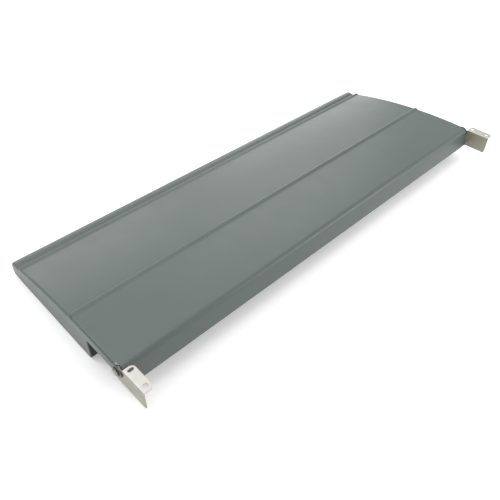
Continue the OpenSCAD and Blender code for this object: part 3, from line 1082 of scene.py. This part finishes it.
@dataclass
class Bracket:
    """A plated angle bracket: a side plate that turns on the bush, folded over into a slotted top flange."""

    deck: Deck
    end: End
    thickness: float = 2.0
    fold: float = 3.0
    heel: float = 10.5
    bore: float = 4.58
    plate_corner: float = 5.0
    flange_corner: float = 8.0
    flange_setback: float = 11.18
    hole_inset: float = 11.4
    slot_line: float = 9.5
    slot_width: float = 6.5
    slot_length: float = 11.0
    square_line: float = 46.5
    square_width: float = 7.0
    square_corner: float = 1.2
    edge_round: float = 0.3
    edge_angle: float = 50.0
    face_weight: int = 80

    def __post_init__(self) -> None:
        """Reads the bracket's outer faces from its CAD node."""
        self.node = f"{self.end.label}_bracket"
        self.low, self.high = self.deck.span(self.node)
        self.shoulder = self.high[2] - self.fold
        self.flange_start = self.deck.pivot_y - self.flange_setback

    def side_outline(self) -> Array:
        """The side plate as (y, z): two rounded lower corners and a heel that is an arc about the pivot."""
        pivot, tip, bottom = self.deck.pivot, self.low[1], self.low[2]
        heel_y = pivot[0] + self.heel
        rise = math.degrees(math.asin((self.shoulder - pivot[1]) / self.heel))
        corners = np.array([[tip, self.shoulder], [tip, bottom], [heel_y, bottom], [heel_y, pivot[1]]])
        return np.concatenate([
            rounded(corners, self.plate_corner)[:-1],
            arc(pivot, self.heel, 0, rise, count=8),
            [[self.flange_start, self.shoulder]],
        ])

    def flange_outline(self) -> Array:
        """The top flange's flat part as (x, y), with its two free corners rounded."""
        inner, outer, tip = self.low[0] + self.fold, self.high[0], self.low[1]
        corners = [[inner, tip], [outer, tip], [outer, self.flange_start], [inner, self.flange_start]]
        return rounded(np.array(corners), self.flange_corner, count=12)

    def slot(self) -> Array:
        """The fixing slot as (x, y): two half circles, a straight length apart."""
        centre = np.array([self.low[0] + self.hole_inset, -self.slot_line])
        shift = np.array([(self.slot_length - self.slot_width) / 2, 0])
        radius = self.slot_width / 2
        return np.concatenate([
            arc(centre + shift, radius, 90, -90, count=13),
            arc(centre - shift, radius, 270, 90, count=13),
        ])

    def square_hole(self) -> Array:
        """The square hole near the tip as (x, y), with rounded corners."""
        centre = np.array([self.low[0] + self.hole_inset, -self.square_line])
        half = self.square_width / 2
        turns = np.array([[0, 1], [1, 1], [1, -1], [-1, -1], [-1, 1], [0, 1]])
        return rounded(centre + half * turns, self.square_corner, count=5)[:-1]

    def build(self, shop: Workshop) -> None:
        """Folds the outer skin, gives it its thickness and rounded edges, and delivers the bracket.

        Across the fold, at an angle f, the skin is at x = low + r (1 - cos f) and z = shoulder + r sin f.
        """
        made = Shell()
        plate, bore = self.side_outline(), circle(self.deck.pivot, self.bore, BORE_POINTS, clockwise=True)
        made.add(upright(np.concatenate([plate, bore]), self.low[0]), plane_fill(plate, bore)[:, ::-1])
        turns = np.radians(np.linspace(0, 90, 9))[:, None]
        y = np.array([[self.low[1], self.flange_start]])
        across = self.low[0] + self.fold * (1 - np.cos(turns)) + 0 * y
        up = self.shoulder + self.fold * np.sin(turns) + 0 * y
        made.add(np.stack([across, y + 0 * turns, up], axis=-1), grid_faces(len(turns), 2))
        loops = [self.flange_outline(), self.slot(), self.square_hole()]
        made.add(lying(np.concatenate(loops), self.high[2]), plane_fill(*loops))
        piece = made.piece(f"{self.end.label}_angle_bracket", self.deck.placed)
        solid = piece.modifiers.new("thickness", "SOLIDIFY")
        solid.thickness = self.thickness * MM
        solid.offset = -1
        solid.use_even_offset = True
        edges = piece.modifiers.new("edges", "BEVEL")
        edges.width = self.edge_round * MM
        edges.segments = 3
        edges.angle_limit = math.radians(self.edge_angle)
        piece.modifiers.new("normals", "WEIGHTED_NORMAL").weight = self.face_weight
        shop.deliver(settled(piece), self.node, Slot.BRACKET)


@dataclass
class PivotHardware:
    """What holds one bracket to its ear: hexagon bolt, two washers, flanged bush and lock nut."""

    deck: Deck
    end: End
    across_flats: float = 10.0
    bolt_radius: float = 3.0
    head_height: float = 4.0
    chamfer: float = 0.6
    chamfer_share: float = 0.96
    tail_chamfer: float = 0.6
    bore: float = 3.1
    washer_radius: float = 8.0
    edge_round: float = 0.25
    bush_flange_radius: float = 8.5
    bush_radius: float = 4.5
    bush_flange: float = 1.0
    nut_hex: float = 4.5
    collar_shares: tuple[float, float, float] = (0.74, 0.84, 0.87)
    collar_round: float = 0.35
    thread_pitch: float = 1.0
    thread_depth: float = 0.3
    threaded: float = 5.0
    thread_margin: float = 0.01

    def __post_init__(self) -> None:
        """Works out the hexagon's radii at its flats and at its corners."""
        self.flat = self.across_flats / 2
        self.corner = self.flat / math.cos(math.pi / 6)

    def hexagon(self, height: Array, radius: Array, angle: Array) -> Array:
        """The radius cut to six flats: at most the flats' radius over the cosine of the angle from a flat."""
        sixth = np.pi / 3
        off_flat = np.mod(angle + sixth / 2, sixth) - sixth / 2
        return np.where(height >= 0, np.minimum(radius, self.flat / np.cos(off_flat)), radius)

    def hex_side(self, top: float, bottom: float, both: bool) -> list[list[float]]:
        """The side of a hexagon as (height, radius): a coned chamfer in steps, then the corners' radius.

        Args:
            top: Height of the chamfered face.
            bottom: Height of the other face.
            both: Whether that face has its chamfer too.

        Returns:
            The profile's points.
        """
        start = self.flat * self.chamfer_share
        share = np.linspace(0, 1, 7)
        radius = start + (self.corner - start) * share
        upper = np.stack([top - self.chamfer * share, radius], axis=-1)
        lower = np.stack([bottom + self.chamfer * share, radius], axis=-1)[::-1]
        return [*upper.tolist(), *(lower.tolist() if both else [[bottom, self.corner]])]

    def bolt(self) -> Shell:
        """The bolt, with its axis along X, a chamfered hexagon head and a rolled thread at its tail."""
        low, high = self.deck.span(self.name("pivot_bolt"))
        length = high[0] - low[0] - self.head_height
        thread = np.linspace(self.threaded - length, self.tail_chamfer - length, 45)
        profile = np.array([
            [self.head_height, 0],
            *self.hex_side(self.head_height, 0, both=False),
            [0, self.bolt_radius],
            *([height, self.bolt_radius] for height in thread),
            [-length, self.bolt_radius - self.tail_chamfer],
            [-length, 0],
        ])

        def cut(height: Array, radius: Array, angle: Array) -> Array:
            """Flats on the head, and a thread that falls by its depth and back once in each pitch."""
            margin = self.thread_margin
            wave = 0.5 - 0.5 * np.cos(2 * np.pi * height / self.thread_pitch - angle)
            on_thread = (height < self.threaded - length + margin) & (radius > self.bolt_radius - margin)
            return self.hexagon(height, radius, angle) - self.thread_depth * wave * on_thread

        made = Shell()
        bearing = low[0] + self.head_height if self.end is End.LEFT else high[0] - self.head_height
        made.add_turned(profile, self.at(bearing), flip=self.end is End.LEFT, cut=cut)
        return made

    def name(self, part: str) -> str:
        """The CAD node's name of a part at this end."""
        return f"{self.end.label}_{part}"

    def at(self, station: float) -> Array:
        """The pivot's point at a station along X."""
        return np.array([station, *self.deck.pivot])

    def washer(self, part: str) -> Shell:
        """A washer with rounded edges, its section a closed path round its rim and bore."""
        low, high = self.deck.span(self.name(part))
        thickness = high[0] - low[0]
        middle = [thickness / 2, self.bore]
        corners = np.array([
            middle,
            [thickness, self.bore],
            [thickness, self.washer_radius],
            [0, self.washer_radius],
            [0, self.bore],
            middle,
        ])
        made = Shell()
        made.add_turned(rounded(corners, self.edge_round, count=4), self.at(low[0]))
        return made

    def bush(self) -> Shell:
        """The bush: a thin flange against the ear and a sleeve through the bracket."""
        low, high = self.deck.span(self.name("pivot_bush"))
        length = high[0] - low[0]
        middle = [length / 2, self.bore]
        corners = np.array([
            middle,
            [length, self.bore],
            [length, self.bush_radius],
            [self.bush_flange, self.bush_radius],
            [self.bush_flange, self.bush_flange_radius],
            [0, self.bush_flange_radius],
            [0, self.bore],
            middle,
        ])
        made = Shell()
        made.add_turned(rounded(corners, self.edge_round, count=4), self.at(low[0]))
        return made

    def lock_nut(self) -> Shell:
        """The lock nut: a hexagon chamfered on both faces and a domed collar on the far side."""
        low, high = self.deck.span(self.name("lock_nut"))
        length = high[0] - low[0]
        heights = (length, length - self.collar_round, self.nut_hex)
        profile = np.array([
            [length / 2, self.bore],
            [length, self.bore],
            *([height, self.flat * share] for height, share in zip(heights, self.collar_shares)),
            *self.hex_side(self.nut_hex, 0, both=True),
            [0, self.bore],
            [length / 2, self.bore],
        ])
        made = Shell()
        inward = self.end is End.LEFT
        made.add_turned(profile, self.at(low[0] if inward else high[0]), flip=not inward, cut=self.hexagon)
        return made

    def build(self, shop: Workshop) -> None:
        """Makes, dresses and delivers the five parts."""
        parts = {
            "pivot_bolt": (self.bolt(), "hex_bolt", Slot.FASTENER),
            "head_washer": (self.washer("head_washer"), "outer_washer", Slot.BUSH),
            "pivot_bush": (self.bush(), "flanged_bush", Slot.BUSH),
            "nut_washer": (self.washer("nut_washer"), "inner_washer", Slot.FASTENER),
            "lock_nut": (self.lock_nut(), "collar_nut", Slot.FASTENER),
        }
        for part, (made, label, slot) in parts.items():
            shop.deliver(made.piece(self.name(label), self.deck.placed), self.name(part), slot)


# ---- Studio ----


@dataclass(frozen=True)
class Softbox:
    """A rectangular area light that faces the frame's origin, in metres and watts."""

    name: str
    place: tuple[float, float, float]
    size: tuple[float, float]
    power: float

    def build(self) -> None:
        """Hangs the light, with its face towards the origin."""
        data = bpy.data.lights.new(self.name, "AREA")
        data.shape = "RECTANGLE"
        data.size, data.size_y = self.size
        data.energy = self.power
        lamp = bpy.data.objects.new(self.name, data)
        bpy.context.scene.collection.objects.link(lamp)
        lamp.location = self.place
        lamp.rotation_euler = (-Vector(self.place)).to_track_quat("-Z", "Y").to_euler()


SOFTBOXES = (
    Softbox("overhead", place=(0.2, 0.3, 2.2), size=(2.6, 2.0), power=21.0),
    Softbox("high_right", place=(1.6, 1.6, 1.8), size=(1.6, 1.2), power=13.0),
    Softbox("right", place=(2.6, 0.0, 1.1), size=(1.6, 1.2), power=3.0),
    Softbox("front_right", place=(1.7, -2.0, 1.1), size=(1.6, 1.2), power=27.0),
    Softbox("back", place=(0.2, 2.6, 1.1), size=(1.8, 1.2), power=13.0),
    Softbox("low_right", place=(2.6, 2.6, 0.45), size=(1.8, 0.8), power=15.0),
    Softbox("rim_left", place=(-1.0, 1.35, 2.0), size=(0.6, 1.4), power=16.0),
)


@dataclass
class Studio:
    """The camera, the pale floor and the lights, in metres and degrees.

    The floor gives off a little light of its own, as a light table does, which keeps the shadows faint.
    """

    eye: tuple[float, float, float] = (-0.68995, -0.60885, 0.736)
    heading: float = 44.76
    pitch: float = 43.072
    roll: float = -0.885
    lens: float = 38.53
    nearest: float = 0.01
    floor_size: float = 14.0
    floor_drop: float = 0.0002
    floor_tone: float = 0.90
    floor_glow: float = 0.27
    floor_rough: float = 0.9
    sky_strength: float = 0.60

    def camera(self) -> None:
        """Sets the camera from its heading (+Y towards +X), its pitch below the horizon and its roll."""
        turn, fall, roll = (math.radians(angle) for angle in (self.heading, self.pitch, self.roll))
        forward = Vector((math.sin(turn) * math.cos(fall), math.cos(turn) * math.cos(fall), -math.sin(fall)))
        level = Vector((math.cos(turn), -math.sin(turn), 0.0))
        down = forward.cross(level)
        right = math.cos(roll) * level + math.sin(roll) * down
        up = math.sin(roll) * level - math.cos(roll) * down
        data = bpy.data.cameras.new("camera")
        data.lens = self.lens
        data.clip_start = self.nearest
        made = bpy.data.objects.new("camera", data)
        bpy.context.scene.collection.objects.link(made)
        made.matrix_world = Matrix.Translation(self.eye) @ Matrix((right, up, -forward)).transposed().to_4x4()
        bpy.context.scene.camera = made

    def floor(self) -> None:
        """Lays the floor: one large quad just under the deck."""
        half, low = self.floor_size / 2, -self.floor_drop
        mesh = bpy.data.meshes.new("studio_floor")
        corners = [(-half, -half, low), (half, -half, low), (half, half, low), (-half, half, low)]
        mesh.from_pydata(corners, [], [(0, 1, 2, 3)])
        net = Network("studio_floor_paper")
        net.shade(
            Base_Color=(*[self.floor_tone] * 3, 1.0),
            Roughness=self.floor_rough,
            Specular_IOR_Level=0.0,
            Emission_Color=(1.0, 1.0, 1.0, 1.0),
            Emission_Strength=self.floor_glow,
        )
        mesh.materials.append(net.material)
        made = bpy.data.objects.new("studio_floor", mesh)
        bpy.context.scene.collection.objects.link(made)

    def light(self) -> None:
        """Lights the studio with an even sky and a few softboxes."""
        world = bpy.data.worlds.new("studio_sky")
        world.use_nodes = True
        back = world.node_tree.nodes["Background"]
        back.inputs["Color"].default_value = (1.0, 1.0, 1.0, 1.0)
        back.inputs["Strength"].default_value = self.sky_strength
        bpy.context.scene.world = world
        for box in SOFTBOXES:
            box.build()
        bpy.context.scene.view_settings.view_transform = "Standard"

    def build(self) -> None:
        """Sets up the whole studio."""
        self.camera()
        self.floor()
        self.light()


def main() -> None:
    """Builds the studio, then each sub-assembly in order."""
    logging.basicConfig(level=logging.INFO, format="%(name)s: %(message)s")
    Studio().build()
    shop = Workshop()
    deck = Deck.from_frame()
    Skins(deck).build(shop)
    Rivets(deck).build(shop)
    for node in ("seam_stringer", *(f"cross_rib_{number + 1}" for number in range(deck.rib_count))):
        shop.dress(node, Slot.INNER)
    for end in End:
        EndCap(deck, end).build(shop)
        Bracket(deck, end).build(shop)
        PivotHardware(deck, end).build(shop)


if __name__ == "__main__":
    main()
